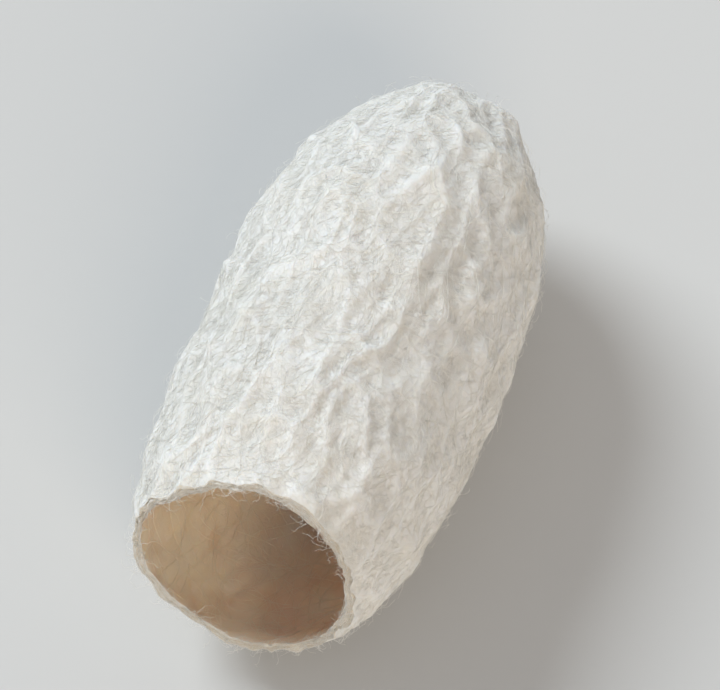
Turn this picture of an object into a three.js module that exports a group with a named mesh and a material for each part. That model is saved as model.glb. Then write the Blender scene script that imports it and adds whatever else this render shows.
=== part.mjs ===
// A silkworm cocoon with one end cut off: a thin, wrinkled silk shell that slips over a fingertip.
// Millimetres, +Z up. The long axis lies along Y with the cut mouth at -Y, and the belly rests at Z = 0.
import * as THREE from "three";

// The whole cocoon, before the cut.
const HALF_LENGTH = 19;
const RADIUS = 9.1;
const FULLNESS = 2.8; // 2 is an ellipsoid, more is a fuller body with rounder ends
const WAIST = 0.04; // how far the middle draws in, as a share of the radius
const WAIST_REACH = 0.3 * HALF_LENGTH;
const HEIGHT_SHARE = 0.96; // a cocoon is a little flatter than it is wide
const WALL = 0.5; // the silk itself
const NAP = 0.3; // the loose filament that stands on it

// The cut: a leaning plane that opens the mouth upwards, and the wander of the scissors.
const CUT_Y = -14.6;
const CUT_LEAN = THREE.MathUtils.degToRad(17);
const CUT_WANDER = 0.16;
const WANDER_WAVES = [
  { count: 3, start: 0.7, share: 1 },
  { count: 5, start: 2.1, share: 0.6 },
];
const CUT_NICK = 0.4; // the step where the end of the cut missed its start
const NICK_TURN = THREE.MathUtils.degToRad(128); // measured from straight up, towards +X
const NICK_FADE = THREE.MathUtils.degToRad(20); // the turn over which the nick dies away
const CUT_BETWEEN = [0.45 * Math.PI, 0.97 * Math.PI]; // the bow angles that the cut surely lies between
const CUT_HALVINGS = 24;

// The surface: broad dents, and the net of fine ridges that the silk dries into.
const DENT_SIZE = 8.5;
const DENT_DEPTH = 0.5;
const WRINKLE_SIZE = 2.2; // across one hollow of the net
const WRINKLE_STRETCH = 1.7; // hollows are longer along the cocoon than across it
const WRINKLE_DEPTH = 0.7;
const WRINKLE_LEVEL = 0.62; // how deep in a hollow the silk is on the smooth ovoid
const WRINKLE_BEND = 1.1; // how far the pattern is pushed about, so that no rows show
const BEND_REACH = 2; // and over how many hollows each push is spread
const DENT_SEED = 11;
const WRINKLE_SEED = 23;
const BEND_SEED = 5;

// The spot that it rests on.
const FLAT_DEPTH = 0.22;
const CALM_BELOW = 0.2; // no dents, wrinkles or nap below this height over the belly
const CALM_HEIGHT = 1.4; // and all of them above this one

// How finely the solid is faceted.
const COLUMNS = 80;
const OUTER_RINGS = 48;
const RIM_RINGS = 2;
const INNER_RINGS = 11;

const SILK = new THREE.MeshStandardMaterial({
  name: "silk",
  color: 0xe9e6da,
  roughness: 0.7,
  metalness: 0,
  side: THREE.DoubleSide,
});

// A whole-number hash of a lattice point, from 0 to 1.
function hash(i, j, k, seed) {
  let h = Math.imul(i, 73856093) ^ Math.imul(j, 19349663);
  h ^= Math.imul(k, 83492791) ^ Math.imul(seed, 2654435761);
  h = Math.imul(h ^ (h >>> 16), 0x7feb352d);
  h = Math.imul(h ^ (h >>> 15), 0x846ca68b);
  return ((h ^ (h >>> 16)) >>> 0) / 2 ** 32;
}

// Smooth noise from -1 to 1 with features one unit across.
function softNoise(p, seed) {
  const cell = p.clone().floor();
  const ease = (v) => v * v * v * (v * (6 * v - 15) + 10);
  const at = [ease(p.x - cell.x), ease(p.y - cell.y), ease(p.z - cell.z)];
  let sum = 0;
  for (let corner = 0; corner < 8; corner++) {
    const step = [corner & 1, (corner >> 1) & 1, corner >> 2];
    const share = step.reduce((w, s, axis) => w * (s ? at[axis] : 1 - at[axis]), 1);
    sum += share * hash(cell.x + step[0], cell.y + step[1], cell.z + step[2], seed);
  }
  return 2 * sum - 1;
}

// Hollows with ridges between them: 1 at the bottom of a hollow, falling to about 0 on a ridge.
function hollows(p, seed) {
  const cell = p.clone().floor();
  let nearest = Infinity;
  for (let i = -1; i <= 1; i++)
    for (let j = -1; j <= 1; j++)
      for (let k = -1; k <= 1; k++) {
        const [x, y, z] = [cell.x + i, cell.y + j, cell.z + k];
        const seat = new THREE.Vector3(
          x + hash(x, y, z, seed),
          y + hash(x, y, z, seed + 1),
          z + hash(x, y, z, seed + 2),
        );
        nearest = Math.min(nearest, seat.distanceToSquared(p));
      }
  return 1 - Math.min(nearest, 1);
}

const profileRadius = (y) => {
  const fullness = Math.sqrt(Math.max(0, 1 - Math.abs(y / HALF_LENGTH) ** FULLNESS));
  return RADIUS * fullness * (1 - WAIST * Math.exp(-((y / WAIST_REACH) ** 2)));
};

// A place on the smooth ovoid: bow is the angle from the closed tip, and turn goes round the axis from
// straight up.
function ovoidPoint(bow, turn) {
  const y = HALF_LENGTH * Math.cos(bow);
  const r = profileRadius(y);
  return new THREE.Vector3(r * Math.sin(turn), y, r * Math.cos(turn) * HEIGHT_SHARE);
}

function ovoidNormal(bow, turn) {
  const step = 1e-3;
  const [back, ahead] = [Math.max(bow - step, 0), bow + step];
  const slope = [back, ahead].map((b) => profileRadius(HALF_LENGTH * Math.cos(b)));
  const out = HALF_LENGTH * (Math.cos(back) - Math.cos(ahead));
  const tip = slope[1] - slope[0];
  return new THREE.Vector3(out * Math.sin(turn), tip, (out * Math.cos(turn)) / HEIGHT_SHARE).normalize();
}

// 0 on the belly, rising to 1 above CALM_HEIGHT, so that the resting spot is smooth and pressed down.
const calm = (p) => THREE.MathUtils.smoothstep(p.z + RADIUS * HEIGHT_SHARE, CALM_BELOW, CALM_HEIGHT);

const dentAt = (p) => DENT_DEPTH * softNoise(p.clone().divideScalar(DENT_SIZE), DENT_SEED);

function wrinkleAt(p) {
  const q = p.clone().divideScalar(WRINKLE_SIZE);
  q.y /= WRINKLE_STRETCH;
  const broad = q.clone().divideScalar(BEND_REACH);
  const push = [0, 1, 2].map((n) => softNoise(broad, BEND_SEED + n));
  q.add(new THREE.Vector3(...push).multiplyScalar(WRINKLE_BEND));
  return WRINKLE_DEPTH * (WRINKLE_LEVEL - hollows(q, WRINKLE_SEED));
}

// A place in the wall: depth is 0 at the tips of the nap and 1 on the inside. Dents go right through the
// wall, and wrinkles die away in it.
function wallPoint(bow, turn, depth) {
  const skin = ovoidPoint(bow, turn);
  const relief = dentAt(skin) + (wrinkleAt(skin) + NAP) * (1 - depth) ** 2;
  return skin.addScaledVector(ovoidNormal(bow, turn), relief * calm(skin) - WALL * depth);
}

// How far past the cut a place lies: the cut leans back towards the top and wanders a little round the mouth.
function pastCut(p, turn) {
  const waves = WANDER_WAVES.map(({ count, start, share }) => share * Math.sin(count * turn + start));
  const wander = CUT_WANDER * waves.reduce((sum, wave) => sum + wave);
  const afterNick = THREE.MathUtils.euclideanModulo(turn - NICK_TURN, 2 * Math.PI);
  const nick = CUT_NICK * Math.exp(-afterNick / NICK_FADE);
  return CUT_Y + wander + nick + p.z * Math.tan(CUT_LEAN) - p.y;
}

// The bow angle at which the wall meets the cut, for one column and depth, by halving.
function bowAtCut(turn, depth) {
  let [kept, gone] = CUT_BETWEEN;
  for (let n = 0; n < CUT_HALVINGS; n++) {
    const middle = (kept + gone) / 2;
    if (pastCut(wallPoint(middle, turn, depth), turn) < 0) kept = middle;
    else gone = middle;
  }
  return kept;
}

// The rows of the wall's section: from the closed tip down the inside, across the rim and up the outside.
function sectionRows() {
  const rows = [];
  for (let n = 0; n <= INNER_RINGS; n++) rows.push({ share: n / INNER_RINGS, depth: 1 });
  for (let n = 1; n < RIM_RINGS; n++) rows.push({ share: 1, depth: 1 - n / RIM_RINGS });
  for (let n = OUTER_RINGS; n >= 0; n--) rows.push({ share: n / OUTER_RINGS, depth: 0 });
  return rows;
}

// A lathe gives the rows and columns of a closed shell, and each vertex then takes its place in the wall.
function shellGeometry() {
  const rows = sectionRows();
  const section = rows.map((row, n) => new THREE.Vector2(RADIUS, n));
  const geometry = new THREE.LatheGeometry(section, COLUMNS);
  const place = geometry.getAttribute("position");
  for (let column = 0; column <= COLUMNS; column++) {
    const turn = ((column % COLUMNS) * 2 * Math.PI) / COLUMNS;
    const ends = [0, 1].map((depth) => bowAtCut(turn, depth));
    rows.forEach(({ share, depth }, row) => {
      const end = THREE.MathUtils.lerp(ends[0], ends[1], depth);
      const p = wallPoint(share * end, share ? turn : 0, depth);
      place.setXYZ(column * rows.length + row, p.x, p.y, p.z);
    });
  }
  return geometry;
}

// Flattens the belly and brings the resting spot to Z = 0, with the bounding box centred over the origin.
function settle(geometry) {
  geometry.computeBoundingBox();
  const floor = geometry.boundingBox.min.z + FLAT_DEPTH;
  const place = geometry.getAttribute("position");
  for (let n = 0; n < place.count; n++) place.setZ(n, Math.max(place.getZ(n), floor));
  geometry.computeBoundingBox();
  const middle = geometry.boundingBox.getCenter(new THREE.Vector3());
  geometry.translate(-middle.x, -middle.y, -floor);
  geometry.computeVertexNormals();
  return geometry;
}

const shell = new THREE.Mesh(settle(shellGeometry()), SILK);
shell.name = "cocoon";

const cocoon = new THREE.Group();
cocoon.add(shell);

export default cocoon;
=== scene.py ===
"""The looks of a cut silk cocoon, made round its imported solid.

The cocoon is one crumpled silk shell, white outside and tan inside, with one end cut away. Filament lies
wound over the shell and lines its hollow, loose loops stand off it as a fuzz, and cut ends fray at the rim.
The dataclasses hold millimetres, as a drawing does, but the studio's hold metres. Whatever reaches Blender
is in metres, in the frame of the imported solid.
"""

from __future__ import annotations

import logging
import math
import sys
from collections.abc import Callable
from dataclasses import dataclass, field
from enum import Enum
from typing import Any

import bpy
import numpy as np
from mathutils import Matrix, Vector

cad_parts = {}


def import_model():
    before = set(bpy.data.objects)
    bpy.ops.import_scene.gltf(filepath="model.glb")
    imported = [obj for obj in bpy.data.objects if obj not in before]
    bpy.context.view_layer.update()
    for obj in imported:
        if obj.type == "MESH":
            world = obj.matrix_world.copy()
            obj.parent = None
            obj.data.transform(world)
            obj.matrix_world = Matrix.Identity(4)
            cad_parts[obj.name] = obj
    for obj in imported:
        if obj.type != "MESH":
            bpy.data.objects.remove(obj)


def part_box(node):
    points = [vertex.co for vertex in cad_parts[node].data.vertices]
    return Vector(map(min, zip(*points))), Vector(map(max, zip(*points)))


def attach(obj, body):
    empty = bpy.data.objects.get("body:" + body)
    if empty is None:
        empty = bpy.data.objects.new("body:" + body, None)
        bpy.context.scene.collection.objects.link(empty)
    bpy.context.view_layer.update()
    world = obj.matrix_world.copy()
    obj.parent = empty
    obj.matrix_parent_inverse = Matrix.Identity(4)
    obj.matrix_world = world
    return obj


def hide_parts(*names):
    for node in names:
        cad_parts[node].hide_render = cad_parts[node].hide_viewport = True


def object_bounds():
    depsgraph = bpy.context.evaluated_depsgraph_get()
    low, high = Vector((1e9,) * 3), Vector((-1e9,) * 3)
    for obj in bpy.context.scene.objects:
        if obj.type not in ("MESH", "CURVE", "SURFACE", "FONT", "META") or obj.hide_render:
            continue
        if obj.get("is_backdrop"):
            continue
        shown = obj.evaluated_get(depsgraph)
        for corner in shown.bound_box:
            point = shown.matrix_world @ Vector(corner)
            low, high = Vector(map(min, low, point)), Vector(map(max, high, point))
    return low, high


MM = 0.001
NODE = "cocoon"
BODY = "root"
DEPTH = "wall_depth"  # stored on the shell: 0 on the outside of the wall, 1 on the inside
CREASE = "crease"  # stored on the shell: 1 in the deepest creases, 0 on the ridges
LIFT = "lift"  # stored on each strand: its share of the lift
ON_SHELL = "on_shell"  # stored along each strand: 1 where there is silk under it
TURN = 2 * math.pi

Colour = tuple[float, float, float]
Settings = dict[str, Any]
Values = dict[Any, Any]

log = logging.getLogger("cocoon")


# --- Noise for the relief: the same lattice noise as the solid is made with, so both have the same lumps

AXIS_FACTORS = (73856093, 19349663, 83492791)
SEED_FACTOR = 2654435761
MIXERS = ((16, 0x7FEB352D), (15, 0x846CA68B))  # shift and factor
LAST_SHIFT = 16


def lattice_hash(cell: np.ndarray, seed: int) -> np.ndarray:
    """Gives each point of the whole-number lattice a value of its own.

    Args:
        cell: Lattice points, one a row.
        seed: Which of the patterns to give.

    Returns:
        A value from 0 to 1 for each point.
    """
    axes = cell.astype(np.int64).astype(np.uint32).T
    i, j, k = (axis * np.uint32(factor) for axis, factor in zip(axes, AXIS_FACTORS))
    mixed = i ^ j ^ k ^ np.uint32(seed * SEED_FACTOR % 2**32)
    for shift, factor in MIXERS:
        mixed = (mixed ^ (mixed >> shift)) * np.uint32(factor)
    return (mixed ^ (mixed >> LAST_SHIFT)) / 2.0**32


def soft_noise(at: np.ndarray, seed: int) -> np.ndarray:
    """Smooth noise whose features are one unit across.

    Args:
        at: Points, one a row.
        seed: Which of the patterns to give.

    Returns:
        A value from -1 to 1 for each point.
    """
    cell = np.floor(at)
    part = at - cell
    ease = part**3 * (part * (6 * part - 15) + 10)
    total = np.zeros(len(at))
    for corner in np.ndindex(2, 2, 2):
        step = np.array(corner[::-1])
        share = np.prod(np.where(step, ease, 1 - ease), axis=1)
        total += share * lattice_hash(cell + step, seed)
    return 2 * total - 1


def soft_push(at: np.ndarray, seed: int) -> np.ndarray:
    """Soft noise in three directions, one row for each point."""
    return np.stack([soft_noise(at, seed + n) for n in range(3)], axis=1)


def hollows(at: np.ndarray, seed: int, rounding: float) -> np.ndarray:
    """Round hollows with ridges between them, one unit across.

    Args:
        at: Points, one a row.
        seed: Which of the patterns to give.
        rounding: How round the ridges are. Near 0 they are knife edges.

    Returns:
        1 at the bottom of a hollow, falling towards 0 on a ridge.
    """
    cell = np.floor(at)
    pull = np.zeros(len(at))
    for step in np.ndindex(3, 3, 3):
        corner = cell + np.array(step) - 1
        seat = corner + np.stack([lattice_hash(corner, seed + n) for n in range(3)], axis=1)
        pull += np.exp(-((seat - at) ** 2).sum(axis=1) / rounding)
    nearest = -rounding * np.log(pull)
    return 1 - np.minimum(nearest, 1)


def round_the_mouth(turn: np.ndarray, count: float, level: float = 0) -> np.ndarray:
    """Places on a circle in a noise pattern, so that the noise closes on itself round the mouth.

    Args:
        turn: Angles round the axis.
        count: The circle's radius, in the noise's own units.
        level: How high in the pattern the circle lies.

    Returns:
        The places, one a row.
    """
    return np.stack([np.sin(turn) * count, np.cos(turn) * count, np.full(len(turn), level)], axis=1)


# --- The cocoon's form


@dataclass(frozen=True)
class Ovoid:
    """The smooth form of the whole cocoon, its long axis on Y and its middle at the origin.

    A place on it has a bow, the angle from the closed tip, and a turn, round the axis from straight up.
    """

    half_length: float = 19
    radius: float = 9.1
    fullness: float = 2.8  # 2 is an ellipsoid, more is a fuller body with rounder ends
    waist: float = 0.04  # how far the middle draws in, as a share of the radius
    waist_reach: float = 0.3  # how far along it does, as a share of the half length
    height_share: float = 0.96  # a cocoon is a little flatter than it is wide
    small_bow: float = 1e-3  # the step that the slope is measured over

    def profile_radius(self, y: np.ndarray) -> np.ndarray:
        """The radius across the axis at each place along it.

        Args:
            y: Places along the axis.

        Returns:
            The radii there.
        """
        along = np.abs(y / self.half_length)
        fullness = np.sqrt(np.maximum(0, 1 - along**self.fullness))
        return self.radius * fullness * (1 - self.waist * np.exp(-((along / self.waist_reach) ** 2)))

    def point(self, bow: np.ndarray, turn: np.ndarray) -> np.ndarray:
        """Places on the ovoid.

        Args:
            bow: Angles from the closed tip.
            turn: Angles round the axis.

        Returns:
            The points, one a row.
        """
        y = self.half_length * np.cos(bow)
        r = self.profile_radius(y)
        return np.stack([r * np.sin(turn), y, r * np.cos(turn) * self.height_share], axis=1)

    def normal(self, bow: np.ndarray, turn: np.ndarray) -> np.ndarray:
        """The outward directions at places on the ovoid.

        Args:
            bow: Angles from the closed tip.
            turn: Angles round the axis.

        Returns:
            Unit vectors, one a row.
        """
        back, ahead = np.maximum(bow - self.small_bow, 0), bow + self.small_bow
        fall = self.half_length * (np.cos(back) - np.cos(ahead))
        rise = self.profile_radius(self.half_length * np.cos(ahead))
        rise = rise - self.profile_radius(self.half_length * np.cos(back))
        out = np.stack([fall * np.sin(turn), rise, fall * np.cos(turn) / self.height_share], axis=1)
        return out / np.linalg.norm(out, axis=1, keepdims=True)


@dataclass(frozen=True)
class Net:
    """One net of ridges with hollows between them, which the silk dries into."""

    size: float  # across a hollow
    stretch: float  # how many times longer than that it is along the cocoon
    depth: float
    bend: float  # how far the pattern is pushed about, in hollows, so that no rows show
    seed: int
    level: float = 0.62  # how deep in a hollow the silk lies on the smooth ovoid
    bend_reach: float = 2  # over how many hollows each push is spread
    bend_seed: int = 5
    stray: float = 0.08  # how far a ridge strays from a straight line, in hollows
    stray_reach: float = 0.4  # over how many hollows each stray is spread
    rounding: float = 0.06  # how round the ridges are

    def hollow(self, at: np.ndarray) -> np.ndarray:
        """How deep in a hollow places lie.

        Args:
            at: Points on the ovoid.

        Returns:
            1 at the bottom of a hollow, falling towards 0 on a ridge.
        """
        at = at / self.size / np.array([1, self.stretch, 1])
        bend = soft_push(at / self.bend_reach, self.bend_seed)
        stray = soft_push(at / self.stray_reach, self.seed + self.bend_seed)
        return hollows(at + self.bend * bend + self.stray * stray, self.seed, self.rounding)

    def height(self, at: np.ndarray) -> np.ndarray:
        """How far the net stands out of the ovoid, in millimetres."""
        return self.depth * (self.level - self.hollow(at))


@dataclass(frozen=True)
class Relief:
    """How far the silk stands out of the ovoid: dents, wrinkles, a crepe on them, its grain, and felt."""

    dent_size: float = 8.5
    dent_depth: float = 0.5
    dent_seed: int = 11
    wrinkles: Net = Net(size=2.2, stretch=1.7, depth=0.38, bend=1.1, seed=23)
    crepe: Net = Net(size=1.45, stretch=1.9, depth=0.52, bend=0.8, seed=41)
    grain: Net = Net(size=0.6, stretch=1.3, depth=0.08, bend=0.8, seed=67)
    felt_size: float = 0.34
    felt_depth: float = 0.035
    felt_seed: int = 57
    inner_wrinkles: float = 0.45  # how much of the wrinkles shows on the inside
    inner_crepe: float = 0.3  # and how much of the crepe, the grain and the felt
    crease_shares: tuple[float, float, float] = (0.35, 0.45, 0.2)  # of the wrinkles, the crepe and the grain
    crease_from: float = 0.45  # the mean depth in the nets at which a crease begins
    calm_below: float = 0.2  # no relief below this height over the belly
    calm_height: float = 1.4  # and all of it above this one

    def dents(self, at: np.ndarray) -> np.ndarray:
        """The height of the broad dents, in millimetres."""
        return self.dent_depth * soft_noise(at / self.dent_size, self.dent_seed)

    def fine(self, at: np.ndarray) -> np.ndarray:
        """The height of the crepe, its grain and the felt in it, in millimetres."""
        felt = self.felt_depth * soft_noise(at / self.felt_size, self.felt_seed)
        return self.crepe.height(at) + self.grain.height(at) + felt

    def height(self, at: np.ndarray, depth: np.ndarray) -> np.ndarray:
        """The height of the whole relief, in millimetres. Dents go through the wall, and nets fade in it.

        Args:
            at: Points on the ovoid.
            depth: How deep in the wall each one is looked at, from 0 to 1.

        Returns:
            The height at each point.
        """
        fade = (1 - depth) ** 2
        wrinkles = self.wrinkles.height(at) * (self.inner_wrinkles + (1 - self.inner_wrinkles) * fade)
        fine = self.fine(at) * (self.inner_crepe + (1 - self.inner_crepe) * fade)
        return self.dents(at) + wrinkles + fine

    def crease(self, at: np.ndarray) -> np.ndarray:
        """How deep in the nets places lie.

        Args:
            at: Points on the ovoid.

        Returns:
            0 on the ridges, 1 in the deepest hollows.
        """
        nets = (self.wrinkles, self.crepe, self.grain)
        deep = sum(share * net.hollow(at) for share, net in zip(self.crease_shares, nets))
        return np.clip((deep - self.crease_from) / (1 - self.crease_from), 0, 1)

    def calm(self, at: np.ndarray, floor: float) -> np.ndarray:
        """How much of the relief shows: none on the belly, so that it rests flat, and all of it above.

        Args:
            at: Points on the ovoid.
            floor: The height of the ovoid's lowest point.

        Returns:
            A share from 0 to 1 for each point.
        """
        share = np.clip((at[:, 2] - floor - self.calm_below) / (self.calm_height - self.calm_below), 0, 1)
        return share * share * (3 - 2 * share)


@dataclass(frozen=True)
class Cut:
    """Where the end was cut away: a leaning plane, the scissors' wander, and a nick where they missed."""

    y: float = -14.6
    lean: float = math.radians(17)
    wander: float = 0.16
    waves: tuple[tuple[int, float, float], ...] = ((3, 0.7, 1.0), (5, 2.1, 0.6))  # count, start and share
    rag: float = 0.07  # the fine raggedness of the cut silk
    rag_count: float = 11  # how large the mouth is in the rag's noise
    rag_seed: int = 83
    nick: float = 0.4  # the step where the end of the cut missed its start
    nick_turn: float = math.radians(128)
    nick_fade: float = math.radians(20)  # the turn over which it dies away
    between: tuple[float, float] = (0.45 * math.pi, 0.97 * math.pi)  # the bows that it surely lies between
    halvings: int = 24

    def past(self, at: np.ndarray, turn: np.ndarray) -> np.ndarray:
        """How far past the cut places lie.

        Args:
            at: Points in the wall.
            turn: Their angles round the axis.

        Returns:
            Millimetres, more than 0 where the silk is gone.
        """
        waves = sum(share * np.sin(count * turn + start) for count, start, share in self.waves)
        nick = self.nick * np.exp(-np.mod(turn - self.nick_turn, TURN) / self.nick_fade)
        rag = self.rag * soft_noise(round_the_mouth(turn, self.rag_count), self.rag_seed)
        return self.y + self.wander * waves + nick + rag + at[:, 2] * math.tan(self.lean) - at[:, 1]


class Region(Enum):
    """The three faces of the wall. The value of each is its finish's place on the mesh."""

    OUTSIDE = 0
    CUT_EDGE = 1
    INSIDE = 2


@dataclass
class Shell:
    """The cocoon's wall as one closed mesh: outside, cut edge and inside.

    Columns run from the closed tip to the mouth, over the cut edge and back along the inside. Each tip is
    closed by a square patch laid out in rings, so no faces crowd together at a pole.
    """

    ovoid: Ovoid = field(default_factory=Ovoid)
    relief: Relief = field(default_factory=Relief)
    cut: Cut = field(default_factory=Cut)
    wall: float = 0.5
    nap: float = 0.3  # how far past the silk, to the tips of its loose filament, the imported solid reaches
    patch_rings: int = 40
    patch_bow: float = 0.62  # where a patch ends and the rows begin
    outside_rows: int = 158
    edge_rows: int = 16
    inside_rows: int = 66
    layers: int = 5  # sheets of silk that show on the cut edge
    layer_step: float = 0.11
    # For each wave in the ends of the sheets: how often it goes round, its change from sheet to sheet, share.
    layer_waves: tuple[tuple[float, float, float], ...] = ((6, 3.7, 1.0), (19, 2.3, 0.6))
    layer_gap: float = 0.05  # the groove between two sheets
    groove_sharpness: int = 3
    layer_seed: int = 71
    lip: float = 0.14  # how far the mouth's edge curls out
    lip_mean: float = 0.55  # as a share of it, over the whole mouth
    lip_swing: float = 0.9  # how much more or less of it there is in places
    lip_count: float = 2.2  # how large the mouth is in the lip's noise
    lip_level: float = 8  # and where in that noise it lies
    lip_reach: float = 1.1  # how far from the edge the curl is felt
    flat_depth: float = 0.22  # how far the belly is pressed in where it rests
    sharp_from: float = math.radians(52)  # faces that meet at more than this look sharp, as at the cut

    def __post_init__(self) -> None:
        """Works out the columns, which are eight times the rings of a patch."""
        self.columns = 8 * self.patch_rings
        self.turns = np.arange(self.columns) * TURN / self.columns
        self.floor = -self.ovoid.height_share * self.ovoid.radius
        self.shift = np.zeros(3)  # from the ovoid's middle to the frame, in metres, once it has settled

    def wall_point(self, bow: np.ndarray, turn: np.ndarray, depth: np.ndarray) -> np.ndarray:
        """Places in the wall.

        Args:
            bow: Angles from the closed tip.
            turn: Angles round the axis.
            depth: 0 on the outside to 1 on the inside.

        Returns:
            The points, one a row.
        """
        skin = self.ovoid.point(bow, turn)
        height = self.relief.height(skin, depth) * self.relief.calm(skin, self.floor) - self.wall * depth
        return skin + self.ovoid.normal(bow, turn) * height[:, None]

    def bow_at_cut(self, depth: float) -> np.ndarray:
        """The bow at which each column of the wall meets the cut, at one depth, found by halving.

        Args:
            depth: How deep in the wall.

        Returns:
            One angle for each column.
        """
        kept, gone = (np.full(self.columns, b) for b in self.cut.between)
        at_depth = np.full(self.columns, depth)
        for _ in range(self.cut.halvings):
            middle = (kept + gone) / 2
            inside = self.cut.past(self.wall_point(middle, self.turns, at_depth), self.turns) < 0
            kept, gone = np.where(inside, middle, kept), np.where(inside, gone, middle)
        return kept

    def patch_places(self) -> tuple[np.ndarray, np.ndarray]:
        """Lays a square grid over a disc, ring by ring.

        Returns:
            Each grid point's ring, from 0 to patch_rings, and its turn.
        """
        steps = np.arange(-self.patch_rings, self.patch_rings + 1)
        i, j = (a.ravel() for a in np.meshgrid(steps, steps, indexing="ij"))
        ring = np.maximum(np.abs(i), np.abs(j))
        wide = np.abs(i) >= np.abs(j)
        across = np.where(wide, j, i) / np.where(ring == 0, 1, np.where(wide, i, j))
        quarter = math.pi / 4 * across
        wide_turn = np.where(i < 0, math.pi, 0) + quarter
        tall_turn = np.where(j < 0, 3, 1) * math.pi / 2 - quarter
        return ring, np.mod(np.where(wide, wide_turn, tall_turn), TURN)

    def row(self, n: int, count: int, end: np.ndarray, depth: float) -> np.ndarray:
        """One row of places along a face of the wall.

        Args:
            n: Which row, from 0 at the patch to count at the cut.
            count: How many steps the face has.
            end: The bow of each column at the cut.
            depth: How deep in the wall.

        Returns:
            The points, one for each column.
        """
        bow = self.patch_bow + (end - self.patch_bow) * n / count
        return self.wall_point(bow, self.turns, np.full(self.columns, depth))

    def edge_row(self, share: float, ends: list[np.ndarray]) -> np.ndarray:
        """One row of places across the cut edge, where the sheets of silk end unevenly.

        Args:
            share: 0 at the outside to 1 at the inside.
            ends: The bow of each column at the cut, on the outside and on the inside.

        Returns:
            The points, one for each column.
        """
        depth = np.full(self.columns, share)
        at = self.wall_point(ends[0] + (ends[1] - ends[0]) * share, self.turns, depth)
        sheet = math.floor(share * self.layers)
        step = np.zeros(self.columns)
        for n, (count, change, part) in enumerate(self.layer_waves):
            place = round_the_mouth(self.turns, count, change * sheet)
            step += part * soft_noise(place, self.layer_seed + 2 * n)
        groove = abs(math.cos(math.pi * share * self.layers)) ** self.groove_sharpness
        at[:, 1] -= self.layer_step * step - self.layer_gap * groove
        return at

    def strip(self) -> tuple[np.ndarray, np.ndarray, list[Region]]:
        """The rows of places from the outer patch over the cut edge to the inner patch.

        Returns:
            The points by row and column, their depth in the wall, and the region of each band of faces.
        """
        ends = [self.bow_at_cut(depth) for depth in (0.0, 1.0)]
        shares = [n / self.edge_rows for n in range(1, self.edge_rows)]
        outside = [self.row(n, self.outside_rows, ends[0], 0.0) for n in range(self.outside_rows + 1)]
        edge = [self.edge_row(share, ends) for share in shares]
        inside = [self.row(n, self.inside_rows, ends[1], 1.0) for n in range(self.inside_rows, -1, -1)]
        counts = zip(Region, (self.outside_rows, self.edge_rows, self.inside_rows))
        bands = [region for region, count in counts for _ in range(count)]
        depths = [0.0] * len(outside) + shares + [1.0] * len(inside)
        return np.array(outside + edge + inside), np.array(depths), bands

    def curl_lip(self, rows: np.ndarray) -> None:
        """Curls the mouth's edge outwards a little, more in some places than in others.

        Args:
            rows: The points by row and column, which are moved.
        """
        edge = rows[self.outside_rows]
        out = edge * np.array([1, 0, 1])
        out /= np.linalg.norm(out, axis=1, keepdims=True)
        place = round_the_mouth(self.turns, self.lip_count, self.lip_level)
        amount = self.lip * (self.lip_mean + self.lip_swing * soft_noise(place, self.layer_seed + 1))
        amount *= self.relief.calm(edge, self.floor)
        for row in rows:
            away = np.linalg.norm(row - edge, axis=1)
            row += out * (amount * np.exp(-away / self.lip_reach))[:, None]

    def faces(self, ring: np.ndarray, turn: np.ndarray,
              bands: list[Region]) -> tuple[np.ndarray, np.ndarray]:
        """Joins the outer patch, the rows and the inner patch into one closed skin.

        Args:
            ring: The ring of each point of a patch.
            turn: The turn of each point of a patch.
            bands: The region of each band of faces between the patches.

        Returns:
            The point numbers of each four-sided face, and the value of its region.
        """
        side = 2 * self.patch_rings + 1
        patch = quads(np.arange(side * side).reshape(side, side))
        rim = np.zeros(self.columns, int)
        on_rim = np.flatnonzero(ring == self.patch_rings)
        rim[np.rint(turn[on_rim] / TURN * self.columns).astype(int) % self.columns] = on_rim
        middle = np.arange((len(bands) - 1) * self.columns).reshape(-1, self.columns) + len(ring)
        last = len(ring) + middle.size
        table = np.concatenate([rim[None], middle, rim[None] + last])
        band = quads(np.concatenate([table, table[:, :1]], axis=1))
        regions = [Region.OUTSIDE, *bands, Region.INSIDE]
        counts = [len(patch), *[self.columns] * len(bands), len(patch)]
        region = np.repeat([r.value for r in regions], counts)
        return np.concatenate([patch, band, patch[:, ::-1] + last]), region

    def settle(self, points: np.ndarray) -> np.ndarray:
        """Flattens the belly and puts the points, in metres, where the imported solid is.

        Args:
            points: Every point of the mesh, in millimetres from the ovoid's middle.

        Returns:
            The points in the frame.
        """
        low, high = (np.array(corner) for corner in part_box(NODE))
        rest = points[:, 2].min() + self.flat_depth
        middle = (points.min(axis=0) + points.max(axis=0) + np.array([0, self.nap, 0])) / 2
        self.shift = np.append((low + high)[:2] / 2, low[2]) - np.array([middle[0], middle[1], rest]) * MM
        placed = points.copy()
        placed[:, 2] = np.maximum(points[:, 2], rest)
        return placed * MM + self.shift

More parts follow.
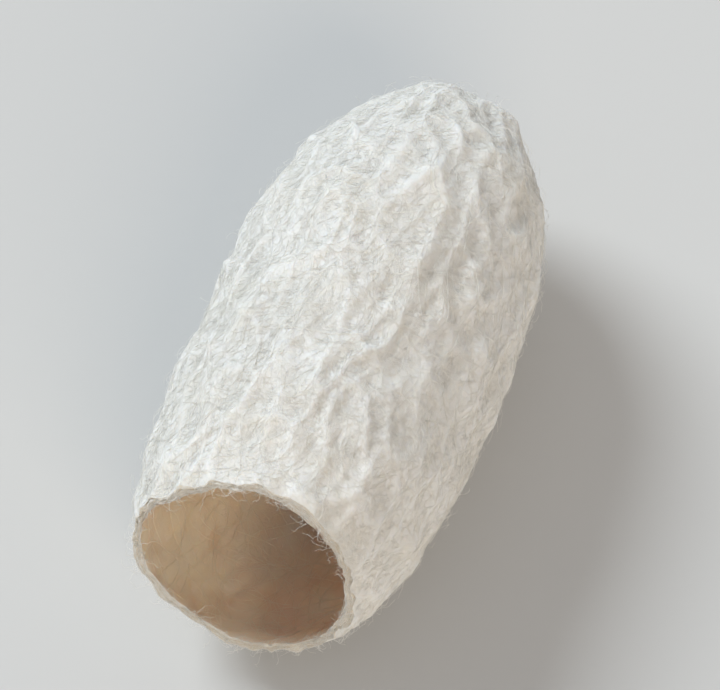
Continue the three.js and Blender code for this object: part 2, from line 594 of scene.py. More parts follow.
    def build(self) -> bpy.types.Object:
        """Makes the mesh.

        Returns:
            The shell, its depth and creases stored on its points.
        """
        ring, turn = self.patch_places()
        bow = ring / self.patch_rings * self.patch_bow
        patches = [self.wall_point(bow, turn, np.full(len(ring), depth)) for depth in (0.0, 1.0)]
        rows, depths, bands = self.strip()
        self.curl_lip(rows)
        points = np.concatenate([patches[0], rows[1:-1].reshape(-1, 3), patches[1]])
        between = np.repeat(depths[1:-1], self.columns)
        faces, region = self.faces(ring, turn, bands)
        placed = self.settle(points)
        mesh = bpy.data.meshes.new("cocoon_shell")
        mesh.from_pydata(placed, [], outward(placed, faces))
        mesh.polygons.foreach_set("material_index", region.astype(np.int32))
        mesh.polygons.foreach_set("use_smooth", np.ones(len(region), bool))
        store(mesh, DEPTH, np.concatenate([np.zeros(len(ring)), between, np.ones(len(ring))]))
        store(mesh, CREASE, self.relief.crease(points))
        mesh.update()
        mesh.set_sharp_from_angle(angle=self.sharp_from)
        return link("cocoon_shell", mesh)


def quads(table: np.ndarray) -> np.ndarray:
    """The four-sided faces between the rows and columns of a table of point numbers, one a row."""
    corners = [table[:-1, :-1], table[1:, :-1], table[1:, 1:], table[:-1, 1:]]
    return np.stack(corners, axis=-1).reshape(-1, 4)


def outward(points: np.ndarray, faces: np.ndarray) -> np.ndarray:
    """Turns every face of a closed mesh round if the mesh is inside out.

    Args:
        points: The mesh's points.
        faces: The point numbers of each four-sided face.

    Returns:
        The faces, pointing outwards.
    """
    a, b, c, d = (points[faces[:, n]] for n in range(4))
    volume = np.einsum("ij,ij->i", a, np.cross(b, c) + np.cross(c, d)).sum()
    return faces if volume > 0 else faces[:, ::-1]


def store(mesh: bpy.types.Mesh, name: str, values: np.ndarray) -> None:
    """Stores one number for each point of a mesh under a name."""
    mesh.attributes.new(name, "FLOAT", "POINT").data.foreach_set("value", values.astype(np.float32))


def link(name: str, data: bpy.types.ID | None) -> bpy.types.Object:
    """Puts a new object into the scene and returns it.

    Args:
        name: The object's name.
        data: Its mesh, lamp or camera.

    Returns:
        The object.
    """
    made = bpy.data.objects.new(name, data)
    bpy.context.scene.collection.objects.link(made)
    return made


# --- Nodes written as expressions


def sign(operation: str, swapped: bool = False) -> Callable[[Number, Any], Number]:
    """Makes the method behind one sign or comparison of a Number.

    Args:
        operation: What its Math node does.
        swapped: Whether the number stands to the right of the sign.

    Returns:
        The method.
    """

    def apply(number: Number, other: Any) -> Number:
        """Adds the node and gives its result."""
        return number.math(operation, *((other, number) if swapped else (number, other)))

    return apply


class Number:
    """A socket that carries a number. Arithmetic on it adds Math nodes to its tree."""

    __add__, __radd__ = sign("ADD"), sign("ADD", swapped=True)
    __sub__, __rsub__ = sign("SUBTRACT"), sign("SUBTRACT", swapped=True)
    __mul__, __rmul__ = sign("MULTIPLY"), sign("MULTIPLY", swapped=True)
    __truediv__, __rtruediv__ = sign("DIVIDE"), sign("DIVIDE", swapped=True)
    least, most = sign("MINIMUM"), sign("MAXIMUM")  # the smaller and the larger of two
    over, under = sign("GREATER_THAN"), sign("LESS_THAN")  # 1 where it is more, or less, than another

    def __init__(self, graph: Graph, socket: bpy.types.NodeSocket) -> None:
        """Wraps a socket of a graph."""
        self.graph = graph
        self.socket = socket

    def math(self, operation: str, *values: Any, clamp: bool = False) -> Number:
        """Adds one Math node.

        Args:
            operation: What the node does.
            values: What goes into its sockets, in order.
            clamp: Whether its result is held between 0 and 1.

        Returns:
            The node's result.
        """
        settings = {"operation": operation, "use_clamp": clamp}
        return self.graph.number("ShaderNodeMath", settings, dict(enumerate(values)))

    def sin(self) -> Number:
        """The sine."""
        return self.math("SINE", self)

    def away_from(self, level: float) -> Number:
        """The distance from a level."""
        return self.math("ABSOLUTE", self - level)

    def spread(self, low: float, high: float) -> Number:
        """Its share of the way from low to high, held between 0 and 1."""
        return self.math("MULTIPLY", self - low, 1 / (high - low), clamp=True)


class Graph:
    """A node tree that is written as expressions."""

    def __init__(self, tree: bpy.types.NodeTree) -> None:
        """Wraps a tree."""
        self.tree = tree

    def node(self, kind: str, settings: Settings | None = None,
             values: Values | None = None) -> bpy.types.Node:
        """Adds one node.

        Args:
            kind: The node's type.
            settings: What is set on the node itself.
            values: What goes into its sockets, by identifier, name or place.

        Returns:
            The node.
        """
        made = self.tree.nodes.new(kind)
        for name, value in (settings or {}).items():
            setattr(made, name, value)
        for key, value in (values or {}).items():
            self.fill(self.find(made.inputs, key), value)
        return made

    @staticmethod
    def find(sockets: Any, key: str | int) -> bpy.types.NodeSocket:
        """Finds a socket by its place, its identifier or its name.

        Args:
            sockets: A node's inputs or outputs.
            key: The place, identifier or name.

        Returns:
            The socket.
        """
        if isinstance(key, int):
            return sockets[key]
        return next((s for s in sockets if s.identifier == key), None) or sockets[key]

    def fill(self, socket: bpy.types.NodeSocket, value: Any) -> None:
        """Links a value to a socket, or sets it there if it is plain.

        Args:
            socket: The socket.
            value: A number, a link or a plain value.
        """
        if isinstance(value, Number):
            value = value.socket
        if isinstance(value, bpy.types.NodeSocket):
            self.tree.links.new(value, socket)
        else:
            socket.default_value = value

    def socket(self, kind: str, settings: Settings | None = None, values: Values | None = None,
               output: str | int = 0) -> bpy.types.NodeSocket:
        """Adds one node and gives one of its results as it is."""
        return self.find(self.node(kind, settings, values).outputs, output)

    def number(self, *node: Any) -> Number:
        """Adds one node, told as to socket(), and gives its result as a number."""
        return Number(self, self.socket(*node))

    def vector(self, operation: str, *values: Any) -> bpy.types.NodeSocket:
        """Adds one Vector Math node and gives its vector."""
        settings = {"operation": operation}
        return self.socket("ShaderNodeVectorMath", settings, dict(enumerate(values)), "Vector")

    def scale(self, vector: Any, amount: Any) -> bpy.types.NodeSocket:
        """Multiplies a vector by a number."""
        values = {"Vector": vector, "Scale": amount}
        return self.socket("ShaderNodeVectorMath", {"operation": "SCALE"}, values, "Vector")

    def join(self, x: Any, y: Any, z: Any) -> bpy.types.NodeSocket:
        """Makes a vector of three numbers."""
        return self.socket("ShaderNodeCombineXYZ", None, {0: x, 1: y, 2: z})

    def blend(self, share: Number, first: Any, second: Any) -> bpy.types.NodeSocket:
        """Mixes two colours.

        Args:
            share: 0 for the first to 1 for the second.
            first: A colour.
            second: Another.

        Returns:
            The mixed colour.
        """
        settings = {"data_type": "RGBA", "clamp_factor": True}
        values = {"Factor_Float": share, "A_Color": first, "B_Color": second}
        return self.socket("ShaderNodeMix", settings, values, "Result_Color")

    def noise(self, place: Any, size: float, detail: float = 2) -> Number:
        """Soft noise in a material, with patches of one size in millimetres."""
        values = {"Vector": place, "Scale": 1 / (size * MM), "Detail": detail}
        return self.number("ShaderNodeTexNoise", None, values, "Fac")

    def painted(self, name: str) -> Number:
        """A number that is stored on the mesh, as a material reads it."""
        return self.number("ShaderNodeAttribute", {"attribute_name": name}, None, "Fac")

    def stored(self, name: str) -> Number:
        """A number that is stored on the mesh, as Geometry Nodes read it."""
        return self.number("GeometryNodeInputNamedAttribute", {"data_type": "FLOAT"}, {"Name": name})

    def position(self) -> list[Number]:
        """Where each point is, as three numbers."""
        apart = self.node("ShaderNodeSeparateXYZ", None, {0: self.socket("GeometryNodeInputPosition")})
        return [Number(self, socket) for socket in apart.outputs]


# --- Finishes


def opaque(colour: Colour) -> tuple[float, float, float, float]:
    """A colour with full cover."""
    return (*colour, 1.0)


def make_material(name: str, colour: Colour, finish: Callable[[Graph], Values]) -> bpy.types.Material:
    """Makes a material.

    Args:
        name: Its name.
        colour: Its colour in a plain view.
        finish: Given the material's graph, names what goes into each of the shader's sockets.

    Returns:
        The material.
    """
    material = bpy.data.materials.new(name)
    material.use_nodes = True
    material.diffuse_color = opaque(colour)
    graph = Graph(material.node_tree)
    shader = next(node for node in material.node_tree.nodes if node.type == "BSDF_PRINCIPLED")
    for socket, value in finish(graph).items():
        graph.fill(shader.inputs[socket], value)
    return material


@dataclass(frozen=True)
class Silk:
    """Raw silk: a felt of filament held by its own gum, soft to the light and only faintly glossy.

    A span is the range of a pattern's values that its effect grows over, from none to all of it.
    """

    name: str
    pale: Colour
    # deep: the colour that the painted shade in creases and grooves, and the patchy tone, blend towards
    deep: Colour
    stain: Colour
    crease_span: tuple[float, float] = (0.2, 0.9)
    crease_painted_shade: float = 0.6  # painted shade, with a little of the silk's own paler ridges: how much deeper the colour is made in a crease
    mottle_size: float = 6
    mottle_span: tuple[float, float] = (0.35, 0.7)
    mottle_shade: float = 0.3
    # painted shade in the grooves between the sheets of a cut edge
    groove_painted_shade: float = 0.7
    fibre_shade: float = -0.12  # a filament is paler than what is under it
    stain_size: float = 4.2
    stain_level: float = 0.66
    stain_span: tuple[float, float] = (-0.12, 0.1)  # round the level
    stain_strength: float = 0.3
    roughness: float = 0.66
    gum_size: float = 0.8
    gum_span: tuple[float, float] = (0.3, 0.7)
    gum_matt: float = 0.14  # how much rougher the silk is between patches of gum
    fibre_gloss: float = 0.1
    index: float = 1.5
    gloss: float = 0.4
    sheen: float = 0.3
    sheen_roughness: float = 0.5
    glow: float = 0.3  # how much light travels inside the silk
    glow_reach: float = 0.9
    glow_colours: Colour = (1.0, 0.82, 0.62)  # how far each colour travels, as a share of that reach
    fibre_width: float = 0.09
    fibre_length: float = 1.6
    fibre_height: float = 0.028
    fibre_sharpness: float = 7
    fibre_turns: tuple[float, ...] = (12, 58, 101, 149)
    fibre_tilts: tuple[float, float] = (0.35, 0.5)
    fibre_shifts: tuple[float, float] = (0.013, 0.007)
    grain_size: float = 0.16
    grain_height: float = 0.012
    sheets: float = 0  # sheets of silk that show on a cut edge
    sheet_height: float = 0.03
    sheet_wander: tuple[tuple[float, float], ...] = ((0.6, 1.6), (0.15, 0.5))  # sizes and amounts
    groove_span: tuple[float, float] = (0.1, 0.95)

    def fibres(self, graph: Graph, place: bpy.types.NodeSocket) -> Number:
        """Lines that cross in several directions, like filament laid over filament.

        Args:
            graph: The material's tree.
            place: Object coordinates.

        Returns:
            1 on a filament, falling to 0 between them.
        """
        height = None
        for n, degrees in enumerate(self.fibre_turns):
            lean = math.radians(degrees)
            pitch, roll = self.fibre_tilts
            values = {
                "Vector": place,
                "Location": (self.fibre_shifts[0] * n, self.fibre_shifts[1] * n, 0.0),
                "Rotation": (pitch * math.sin(2 * lean), roll * math.cos(3 * lean), lean),
                "Scale": (self.fibre_length * MM, self.fibre_width * MM, self.fibre_width * MM),
            }
            turned = graph.socket("ShaderNodeMapping", {"vector_type": "TEXTURE"}, values)
            lines = {"Vector": turned, "Scale": 1, "Detail": 1}
            away = graph.number("ShaderNodeTexNoise", None, lines, "Fac").away_from(0.5)
            ridge = 1 - away * self.fibre_sharpness
            height = ridge if height is None else height.most(ridge)
        return height.most(0)

    def grooves(self, graph: Graph, place: bpy.types.NodeSocket) -> Number:
        """Where one sheet of silk ends and the next begins, on a cut edge: 1 in a groove, 0 on a sheet."""
        wander = sum(graph.noise(place, size) * amount for size, amount in self.sheet_wander)
        return ((graph.painted(DEPTH) * self.sheets + wander) * TURN).sin().spread(*self.groove_span)

    def colour(self, graph: Graph, place: bpy.types.NodeSocket, fibres: Number) -> bpy.types.NodeSocket:
        """The silk's colour: paler on ridges and deeper in creases, which is mostly painted shade, deeper in
        a cut edge's grooves as painted shade too, with a patchy tone and faint stains.

        Args:
            graph: The material's tree.
            place: Object coordinates.
            fibres: Where the filaments are.

        Returns:
            The colour.
        """
        # painted shade: the colour is deepened in the creases, where the relief lies in shade; the mottle and
        # the filaments are the silk's own tone
        shade = graph.painted(CREASE).spread(*self.crease_span) * self.crease_painted_shade
        shade = shade + graph.noise(place, self.mottle_size).spread(*self.mottle_span) * self.mottle_shade
        shade = shade + fibres * self.fibre_shade
        if self.sheets:
            # painted shade: a cut edge's colour is deepened in the grooves between its sheets
            shade = shade + self.grooves(graph, place) * self.groove_painted_shade
        body = graph.blend(shade, opaque(self.pale), opaque(self.deep))
        span = (self.stain_level + self.stain_span[0], self.stain_level + self.stain_span[1])
        stains = graph.noise(place, self.stain_size, 3).spread(*span)
        return graph.blend(stains * self.stain_strength, body, opaque(self.stain))

    def surface(self, graph: Graph, place: bpy.types.NodeSocket, fibres: Number) -> bpy.types.NodeSocket:
        """The fine relief that is too small for the mesh.

        Args:
            graph: The material's tree.
            place: Object coordinates.
            fibres: Where the filaments are.

        Returns:
            The surface's normal.
        """
        grain = graph.noise(place, self.grain_size, 3)
        height = fibres * (self.fibre_height * MM) + grain * (self.grain_height * MM)
        if self.sheets:
            height = height - self.grooves(graph, place) * (self.sheet_height * MM)
        values = {"Height": height, "Distance": 1.0, "Strength": 1.0}
        return graph.socket("ShaderNodeBump", None, values, "Normal")

    def finish(self, graph: Graph) -> Values:
        """Works out the finish.

        Args:
            graph: The material's tree.

        Returns:
            What goes into each of the shader's sockets.
        """
        place = graph.socket("ShaderNodeTexCoord", None, None, "Object")
        fibres = self.fibres(graph, place)
        matt = graph.noise(place, self.gum_size).spread(*self.gum_span) * self.gum_matt
        return {
            "Base Color": self.colour(graph, place, fibres),
            "Roughness": self.roughness + matt - fibres * self.fibre_gloss,
            "Normal": self.surface(graph, place, fibres),
            "IOR": self.index,
            "Specular IOR Level": self.gloss,
            "Sheen Weight": self.sheen,
            "Sheen Roughness": self.sheen_roughness,
            "Subsurface Weight": self.glow,
            "Subsurface Radius": self.glow_colours,
            "Subsurface Scale": self.glow_reach * MM,
        }


@dataclass(frozen=True)
class Filament:
    """One silk filament: clear gum over a pale core, glossier than the felt under it."""

    name: str
    pale: Colour
    deep: Colour
    patch_size: float = 1.3
    patch_span: tuple[float, float] = (0.3, 0.7)
    roughness: float = 0.42
    patch_matt: float = 0.15
    gloss: float = 0.5
    sheen: float = 0.2

    def finish(self, graph: Graph) -> Values:
        """Works out the finish.

        Args:
            graph: The material's tree.

        Returns:
            What goes into each of the shader's sockets.
        """
        place = graph.socket("ShaderNodeTexCoord", None, None, "Object")
        along = graph.noise(place, self.patch_size).spread(*self.patch_span)
        return {
            "Base Color": graph.blend(along, opaque(self.pale), opaque(self.deep)),
            "Roughness": self.roughness + along * self.patch_matt,
            "Specular IOR Level": self.gloss,
            "Sheen Weight": self.sheen,
        }


OUTSIDE_SILK = Silk(
    name="silk_outside",
    pale=(0.88, 0.87, 0.83),
    deep=(0.76, 0.735, 0.67),
    stain=(0.74, 0.66, 0.5),
)
EDGE_SILK = Silk(
    name="silk_cut_edge",
    pale=(0.88, 0.84, 0.76),
    deep=(0.76, 0.68, 0.55),
    stain=(0.7, 0.58, 0.4),
    fibre_width=0.05,
    roughness=0.72,
    sheets=6,
)
INSIDE_SILK = Silk(
    name="silk_inside",
    pale=(0.95, 0.775, 0.635),
    deep=(0.88, 0.655, 0.5),
    stain=(0.7, 0.45, 0.29),
    stain_level=0.58,
    stain_strength=0.35,
    roughness=0.48,
    glow=0.85,
    glow_reach=1.1,
    sheen=0.15,
    fibre_height=0.02,
)
LAID_FILAMENT = Filament("silk_filament", (0.9, 0.885, 0.84), (0.82, 0.8, 0.74))
LINING_FILAMENT = Filament("silk_lining_filament", (0.95, 0.855, 0.71), (0.87, 0.72, 0.555))


# --- Filament, by Geometry Nodes


class Shape(Enum):
    """What one strand is before it is laid on the shell."""

    FIGURE_OF_EIGHT = "figure_of_eight"
    ARC = "arc"


class Side(Enum):
    """Which face of the wall strands are laid on, with the wall depths that count as that face."""

    OUTSIDE = (-0.5, 0.05)
    INSIDE = (0.95, 1.5)


@dataclass
class StrandTree:
    """A Geometry Nodes tree that scatters strands over the shell, lays them on it and thickens them."""

    shape: Shape
    side: Side
    points: int
    reach: float = 14.0  # how far from the cocoon's axis the rays that look for the surface start, or end
    arc_sway: float = 0.2  # how far an arc bends aside, as a share of its length
    arc_turn: float = 0.8 * math.pi  # the part of a wave that an arc rises and falls through
    least_lift: float = 0.15  # the least share of the lift that a strand gets

    def __post_init__(self) -> None:
        """Starts the tree, with its sizes as named inputs."""
        self.tree = bpy.data.node_groups.new(f"strands_{self.shape.value}", "GeometryNodeTree")
        self.tree.is_modifier = True
        sizes = ("Density", "Width", "Length", "Drift", "Thickness", "Lift", "Waviness", "Wave Size",
                 "Vary", "Depth From", "Depth To", "Floor", "Axis Height", "Axis Reach")
        kinds = {"Shell": "Geometry", **dict.fromkeys(sizes, "Float"), "Seed": "Int", "Material": "Material"}
        for name, kind in kinds.items():
            self.tree.interface.new_socket(name, in_out="INPUT", socket_type="NodeSocket" + kind)
        self.tree.interface.new_socket("Strands", in_out="OUTPUT", socket_type="NodeSocketGeometry")
        self.graph = Graph(self.tree)
        self.given = self.graph.node("NodeGroupInput").outputs

    def build(self) -> bpy.types.NodeTree:
        """Fills the tree.

        Returns:
            The tree.
        """
        strands = self.scatter(self.strand())
        strands = self.lay(strands) if self.shape is Shape.FIGURE_OF_EIGHT else self.wave(strands)
        self.graph.node("NodeGroupOutput", None, {0: self.thicken(strands)})
        return self.tree

    def input(self, name: str) -> Number:
        """One of the tree's inputs as a number."""
        return Number(self.graph, self.given[name])

    def move(self, strands: Any, how: str, place: Any) -> bpy.types.NodeSocket:
        """Moves the points of strands, to a "Position" or by an "Offset"."""
        return self.graph.socket("GeometryNodeSetPosition", None, {"Geometry": strands, how: place})

    def mark(self, strands: Any, domain: str, name: str, value: Number) -> bpy.types.NodeSocket:
        """Stores a number on strands, or on the points along them.

        Args:
            strands: The strands.
            domain: On which of their elements, as "INSTANCE" or "POINT".
            name: The name that it is stored under.
            value: The number.

        Returns:
            The strands, with the number on them.
        """
        settings = {"data_type": "FLOAT", "domain": domain}
        values = {"Geometry": strands, "Name": name, "Value": value}
        return self.graph.socket("GeometryNodeStoreNamedAttribute", settings, values)

    def random(self, low: Any, high: Any, salt: int) -> Number:
        """A random number for each element."""
        values = {"Min_001": low, "Max_001": high, "Seed": self.input("Seed") + salt}
        return self.graph.number("FunctionNodeRandomValue", {"data_type": "FLOAT"}, values, "Value_001")

    def strand(self) -> bpy.types.NodeSocket:
        """One strand, lying on the XY plane round the origin.

        Returns:
            The strand as a curve.
        """
        line = self.graph.socket("GeometryNodeCurvePrimitiveLine", None, {"End": (1.0, 0.0, 0.0)})
        line = self.graph.socket("GeometryNodeResampleCurve", None, {"Curve": line, "Count": self.points})
        share = self.graph.number("GeometryNodeSplineParameter", None, None, "Factor")
        width, length, drift = (self.input(name) for name in ("Width", "Length", "Drift"))
        if self.shape is Shape.FIGURE_OF_EIGHT:
            angle = share * (2 * TURN)
            across = angle.sin() * width * 0.5
            along = (angle * 2).sin() * length * 0.5 + (share - 0.5) * drift
            return self.move(line, "Position", self.graph.join(across, along, 0.0))
        aside = (share * drift).sin() * length * self.arc_sway
        up = (share * self.arc_turn).sin() * width
        return self.move(line, "Position", self.graph.join(share * length, aside, up))

    def scatter(self, strand: Any) -> bpy.types.NodeSocket:
        """Puts strands on the shell, each turned its own way, clear of the belly.

        Args:
            strand: One strand.

        Returns:
            The strands as curves of their own.
        """
        graph = self.graph
        depth = graph.stored(DEPTH)
        here = depth.over(self.input("Depth From")) * depth.under(self.input("Depth To"))
        here = here * graph.position()[2].over(self.input("Floor"))
        scattered = graph.node(
            "GeometryNodeDistributePointsOnFaces",
            {"distribute_method": "RANDOM", "use_legacy_normal": False},
            {"Mesh": self.given["Shell"], "Selection": here, "Density": self.given["Density"],
             "Seed": self.given["Seed"]},
        ).outputs
        values = {"Axis": (0.0, 0.0, 1.0), "Angle": self.random(0.0, TURN, 1)}
        spin = graph.socket("FunctionNodeAxisAngleToRotation", None, values)
        values = {"Rotation": scattered["Rotation"], "Rotate By": spin}
        turned = graph.socket("FunctionNodeRotateRotation", {"rotation_space": "LOCAL"}, values)
        vary = self.input("Vary")
        size = self.random(1 - vary, 1 + vary, 2)
        values = {"Points": scattered["Points"], "Instance": strand, "Rotation": turned,
                  "Scale": graph.join(size, size, size)}
        placed = graph.socket("GeometryNodeInstanceOnPoints", None, values)
        lifted = self.mark(placed, "INSTANCE", LIFT, self.random(self.least_lift, 1.0, 3))
        return graph.socket("GeometryNodeRealizeInstances", None, {"Geometry": lifted})

    def wander(self) -> bpy.types.NodeSocket:
        """A push on each point that takes the stiffness out of a strand.

        Returns:
            The push, as a vector.
        """
        place = self.graph.socket("GeometryNodeInputPosition")
        values = {"Vector": place, "Scale": 1 / self.input("Wave Size"), "Detail": 1.0}
        noise = self.graph.socket("ShaderNodeTexNoise", {"noise_dimensions": "3D"}, values, "Color")
        centred = self.graph.vector("SUBTRACT", noise, (0.5, 0.5, 0.5))
        return self.graph.scale(centred, self.input("Waviness"))

    def wave(self, strands: Any) -> bpy.types.NodeSocket:
        """Bends loose strands about, the more the further they are from their root, and keeps them up."""
        share = self.graph.number("GeometryNodeSplineParameter", None, None, "Factor")
        return self.keep_up(self.move(strands, "Offset", self.graph.scale(self.wander(), share)))

    def keep_up(self, strands: Any) -> bpy.types.NodeSocket:
        """Keeps every point at least a strand's thickness above the floor."""
        x, y, z = self.graph.position()
        return self.move(strands, "Position", self.graph.join(x, y, z.most(self.input("Thickness"))))

    def lay(self, strands: Any) -> bpy.types.NodeSocket:
        """Lays strands on the shell by rays: from outside towards its axis, or from its axis to the inside.

        Args:
            strands: The strands as curves.

        Returns:
            The strands on the surface, cut off where the shell ends.
        """
        graph = self.graph
        strands = self.move(strands, "Offset", self.wander())
        reach = self.input("Axis Reach")
        along = graph.position()[1].least(reach).most(0 - reach)
        axis = graph.join(0.0, along, self.input("Axis Height"))
        away = graph.vector("SUBTRACT", graph.socket("GeometryNodeInputPosition"), axis)
        away = graph.vector("NORMALIZE", away)
        start = self.reach * MM
        source, way = axis, away
        if self.side is Side.OUTSIDE:
            source = graph.vector("ADD", axis, graph.scale(away, start))
            way = graph.scale(away, -1.0)
        ray = graph.node(
            "GeometryNodeRaycast",
            {"data_type": "FLOAT"},
            {"Target Geometry": self.given["Shell"], "Attribute": graph.stored(DEPTH),
             "Source Position": source, "Ray Direction": way, "Ray Length": start},
        ).outputs
        depth = Number(graph, ray["Attribute"])
        shallowest, deepest = self.side.value
        on_shell = depth.over(shallowest) * depth.under(deepest) * Number(graph, ray["Is Hit"])
        marked = self.mark(strands, "POINT", ON_SHELL, on_shell)
        rise = graph.scale(ray["Hit Normal"], graph.stored(LIFT) * self.input("Lift"))
        laid = self.move(marked, "Position", graph.vector("ADD", ray["Hit Position"], rise))
        wires = graph.socket("GeometryNodeCurveToMesh", None, {"Curve": self.keep_up(laid)})
        values = {"Geometry": wires, "Selection": graph.stored(ON_SHELL).under(0.5)}
        trimmed = graph.socket("GeometryNodeDeleteGeometry", {"domain": "POINT"}, values)
        return graph.socket("GeometryNodeMeshToCurve", None, {"Mesh": trimmed})

    def thicken(self, strands: Any) -> bpy.types.NodeSocket:
        """Makes closed three-sided tubes of the strands, and gives them their finish.

        Args:
            strands: The strands as curves.

        Returns:
            The tubes.
        """
        graph = self.graph
        values = {"Resolution": 3, "Radius": self.given["Thickness"]}
        section = graph.socket("GeometryNodeCurvePrimitiveCircle", None, values, "Curve")
        values = {"Curve": strands, "Profile Curve": section, "Fill Caps": True}
        tubes = graph.socket("GeometryNodeCurveToMesh", None, values)
        smooth = graph.socket("GeometryNodeSetShadeSmooth", None, {"Geometry": tubes})
        real = graph.socket("GeometryNodeRealizeInstances", None, {"Geometry": smooth})
        values = {"Geometry": real, "Material": self.given["Material"]}
        return graph.socket("GeometryNodeSetMaterial", None, values)


@dataclass(frozen=True)
class Strands:
    """One piece of loose or laid filament. Density is strands on a square millimetre."""

    name: str
    shape: Shape
    density: float
    width: float
    length: float
    drift: float  # how far a figure of eight moves on, or in radians how far an arc turns aside
    thickness: float
    lift: float
    waviness: float
    wave_size: float
    seed: int
    points: int
    side: Side = Side.OUTSIDE
    vary: float = 0.33  # how much larger or smaller than the middle size strands are
    depth_from: float = -0.5
    depth_to: float = 0.02  # strands grow between these depths in the wall
    floor: float = 0.7  # and none below this height

    def inputs(self, axis_height: float, axis_reach: float, material: bpy.types.Material) -> Values:
        """What goes into the tree's inputs, with lengths in metres.

        Args:
            axis_height: The height of the cocoon's axis, in metres.
            axis_reach: How far from the middle the axis reaches, in metres.
            material: The strands' finish.

        Returns:
            The value of each input, by its name.
        """
        return {
            "Density": self.density / MM**2,
            "Width": self.width * MM,
            "Length": self.length * MM,
            "Drift": self.drift * MM if self.shape is Shape.FIGURE_OF_EIGHT else self.drift,
            "Thickness": self.thickness * MM,
            "Lift": self.lift * MM,
            "Waviness": self.waviness * MM,
            "Wave Size": self.wave_size * MM,
            "Vary": self.vary,
            "Depth From": self.depth_from,
            "Depth To": self.depth_to,
            "Floor": self.floor * MM,
            "Axis Height": axis_height,
            "Axis Reach": axis_reach,
            "Seed": self.seed,
            "Material": material,
        }

    def build(self, shell: bpy.types.Object, inputs: Values) -> bpy.types.Object:
        """Grows the strands on the shell.

        Args:
            shell: The shell's object.
            inputs: What goes into the tree's inputs.

        Returns:
            The piece, a plain mesh.
        """
        host = link(self.name + "_host", shell.data.copy())
        modifier = host.modifiers.new("strands", "NODES")
        modifier.node_group = StrandTree(self.shape, self.side, self.points).build()
        for item in modifier.node_group.interface.items_tree:
            if item.in_out == "INPUT" and item.name in inputs:
                modifier[item.identifier] = inputs[item.name]
        evaluated = host.evaluated_get(bpy.context.evaluated_depsgraph_get())
        mesh = bpy.data.meshes.new_from_object(evaluated)
        mesh.name = self.name
        host.modifiers.remove(modifier)
        bpy.data.objects.remove(host)
        return link(self.name, mesh)


STRANDS = (
    Strands("windings_first", Shape.FIGURE_OF_EIGHT, density=0.14, width=8.5, length=3.6, drift=1.6,
            thickness=0.014, lift=0.012, waviness=1.1, wave_size=4, seed=3, points=128),
    Strands("windings_second", Shape.FIGURE_OF_EIGHT, density=0.14, width=7, length=4.4, drift=-2.2,
            thickness=0.012, lift=0.02, waviness=1.4, wave_size=3.2, seed=8, points=128),
    Strands("windings_third", Shape.FIGURE_OF_EIGHT, density=0.14, width=6, length=3, drift=3.4,
            thickness=0.011, lift=0.016, waviness=1.3, wave_size=2.4, seed=15, points=128),
    Strands("floss", Shape.FIGURE_OF_EIGHT, density=0.02, width=11, length=6, drift=5,
            thickness=0.012, lift=0.12, waviness=2.4, wave_size=5, seed=21, points=170),
    Strands("fuzz", Shape.ARC, density=1.1, width=0.22, length=1.15, drift=2.6,
            thickness=0.009, lift=0, waviness=0.7, wave_size=0.7, seed=31, points=9),
    Strands("frayed_edge", Shape.ARC, density=9, width=0.3, length=0.75, drift=3,
            thickness=0.008, lift=0, waviness=0.9, wave_size=0.5, seed=44, points=12,
            vary=0.7, depth_from=0.03, depth_to=0.97, floor=0.1),
    Strands("edge_felt", Shape.ARC, density=48, width=0.035, length=0.26, drift=2,
            thickness=0.008, lift=0, waviness=0.12, wave_size=0.2, seed=52, points=6,
            vary=0.5, depth_from=0.03, depth_to=0.97, floor=0),
    Strands("lining", Shape.FIGURE_OF_EIGHT, density=0.085, width=8, length=4, drift=2.4,
            thickness=0.013, lift=0.012, waviness=1.3, wave_size=3.4, seed=63, points=120,
            side=Side.INSIDE, depth_from=0.98, depth_to=1.5, floor=-1),
)
AXIS_SHARE = 0.5  # strands are laid square to the axis over this share of its half length, then fan out


# --- The studio


def aim(thing: bpy.types.Object, place: Vector, way: Vector) -> None:
    """Puts a lamp or a camera at a place, facing one way."""
    thing.location = place
    thing.rotation_euler = way.to_track_quat("-Z", "Y").to_euler()


@dataclass(frozen=True)
class Lamp:
    """One soft light, so far off that it is even all over the cocoon, in metres."""

    name: str
    place: tuple[float, float, float]  # where it shines from
    strength: float
    width: float  # the angle that it fills, seen from the cocoon, in degrees
    colour: Colour

    def build(self, target: Vector) -> None:
        """Hangs the lamp, facing the target.

        Args:
            target: The middle of the cocoon.
        """
        data = bpy.data.lights.new(self.name, "SUN")
        data.angle = math.radians(self.width)
        data.energy = self.strength
        data.color = self.colour
        place = target + Vector(self.place)
        aim(link(self.name, data), place, target - place)


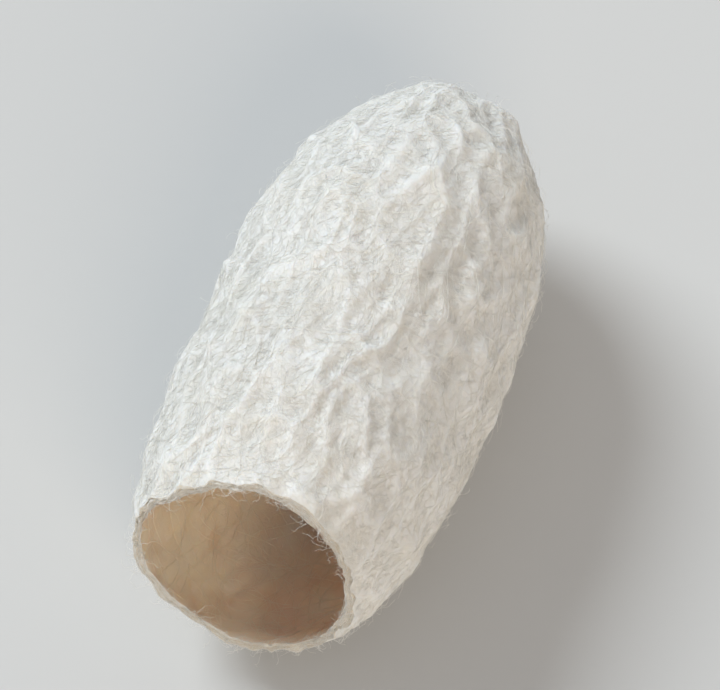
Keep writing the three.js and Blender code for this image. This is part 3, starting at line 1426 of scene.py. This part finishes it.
@dataclass(frozen=True)
class Studio:
    """A pale floor, light that is cooler on the left and warmer on the right, and the camera, in metres."""

    floor_size: float = 3.0
    floor_colour: Colour = (0.58, 0.58, 0.57)
    floor_roughness: float = 0.8
    sky: Colour = (0.92, 0.95, 1.0)
    sky_strength: float = 0.4
    lamps: tuple[Lamp, ...] = (
        Lamp("key_light", (-0.28, 0.10, 0.25), 2.8, 29, (0.89, 0.955, 1.0)),
        Lamp("warm_light", (0.24, -0.30, 0.20), 1.45, 38, (1.0, 0.85, 0.69)),
    )
    lens: float = 200.0  # in millimetres
    near: float = 0.005  # the camera sees nothing closer than this
    azimuth: float = 22.0  # in degrees, from -Y towards +X
    elevation: float = 60.0  # in degrees, above the floor
    distance: float = 0.23

    def build(self, low: Vector, high: Vector) -> None:
        """Sets the studio up round the cocoon.

        Args:
            low: The cocoon's lowest corner.
            high: Its highest corner.
        """
        target = (low + high) / 2
        self.lay_floor()
        self.light_sky()
        for lamp in self.lamps:
            lamp.build(target)
        self.place_camera(target)
        bpy.context.scene.view_settings.view_transform = "Standard"

    def lay_floor(self) -> None:
        """Lays the floor under the cocoon."""
        half = self.floor_size / 2
        corners = [(-half, -half, 0), (half, -half, 0), (half, half, 0), (-half, half, 0)]
        mesh = bpy.data.meshes.new("floor")
        mesh.from_pydata(corners, [], [(0, 1, 2, 3)])
        floor = link("floor", mesh)
        mesh.materials.append(make_material("floor", self.floor_colour, self.floor_finish))
        floor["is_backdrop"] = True

    def floor_finish(self, _: Graph) -> Values:
        """What goes into the sockets of the floor's shader."""
        return {"Base Color": opaque(self.floor_colour), "Roughness": self.floor_roughness}

    def light_sky(self) -> None:
        """Lights the whole scene evenly."""
        world = bpy.data.worlds.new("studio")
        world.use_nodes = True
        background = world.node_tree.nodes["Background"]
        background.inputs["Color"].default_value = opaque(self.sky)
        background.inputs["Strength"].default_value = self.sky_strength
        bpy.context.scene.world = world

    def place_camera(self, target: Vector) -> None:
        """Stands the camera where it looks down on the side and into the mouth.

        Args:
            target: The middle of the cocoon.
        """
        data = bpy.data.cameras.new("camera")
        data.lens = self.lens
        data.clip_start = self.near
        camera = link("camera", data)
        azimuth, elevation = math.radians(self.azimuth), math.radians(self.elevation)
        level = math.cos(elevation)
        back = Vector((math.sin(azimuth) * level, -math.cos(azimuth) * level, math.sin(elevation)))
        aim(camera, target + back * self.distance, -back)
        bpy.context.scene.camera = camera


# --- The whole


def dress_shell(plan: Shell) -> bpy.types.Object:
    """Builds the shell and gives each face of its wall a finish.

    Args:
        plan: The shell's sizes.

    Returns:
        The shell, with its three finishes.
    """
    piece = plan.build()
    for silk in (OUTSIDE_SILK, EDGE_SILK, INSIDE_SILK):
        piece.data.materials.append(make_material(silk.name, silk.pale, silk.finish))
    return piece


def grow_strands(plan: Shell, shell: bpy.types.Object) -> list[bpy.types.Object]:
    """Grows every piece of filament on the shell.

    Args:
        plan: The shell's sizes.
        shell: The shell.

    Returns:
        The pieces.
    """
    finishes = {Side.OUTSIDE: LAID_FILAMENT, Side.INSIDE: LINING_FILAMENT}
    materials = {side: make_material(f.name, f.pale, f.finish) for side, f in finishes.items()}
    reach = AXIS_SHARE * plan.ovoid.half_length * MM
    return [s.build(shell, s.inputs(plan.shift[2], reach, materials[s.side])) for s in STRANDS]


def report(piece: bpy.types.Object) -> None:
    """Logs how many triangles a piece has."""
    triangles = sum(len(face.vertices) - 2 for face in piece.data.polygons)
    log.info("%s: %d triangles", piece.name, triangles)


def main() -> None:
    """Builds the cocoon piece by piece, and the studio round it."""
    logging.basicConfig(level=logging.INFO, format="%(name)s: %(message)s", stream=sys.stdout)
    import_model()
    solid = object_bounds()
    Studio().build(*solid)
    plan = Shell()
    shell = dress_shell(plan)
    for piece in [shell, *grow_strands(plan, shell)]:
        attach(piece, BODY)
        report(piece)
    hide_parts(NODE)


if __name__ == "__main__":
    main()
